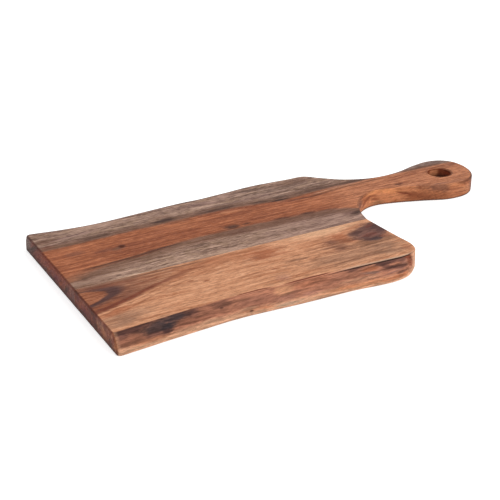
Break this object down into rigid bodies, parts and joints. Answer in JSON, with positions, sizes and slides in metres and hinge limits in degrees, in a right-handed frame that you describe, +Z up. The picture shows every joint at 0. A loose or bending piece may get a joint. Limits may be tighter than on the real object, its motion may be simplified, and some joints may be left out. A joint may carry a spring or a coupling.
{
  "type": "paddle charcuterie board",
  "caption": "Flat wooden serving board, edge glued from planks, with live edges, a straight end and a rounded paddle handle with a hang hole.",
  "frame": {"origin": "under the middle of the board, on the surface that it lies on", "axes": "+X from the straight end to the knob of the handle, +Y from the front live edge to the back live edge, +Z up out of the serving face"},
  "size_m": [0.488, 0.235, 0.018],
  "materials": {
    "front_wood": "oiled, satin",
    "back_wood": "oiled, satin",
    "glue": "cured wood glue"
  },
  "bodies": {
    "root": {"front_plank": "front_wood", "back_plank": "back_wood", "glue_line": "glue"}
  },
  "joints": []
}
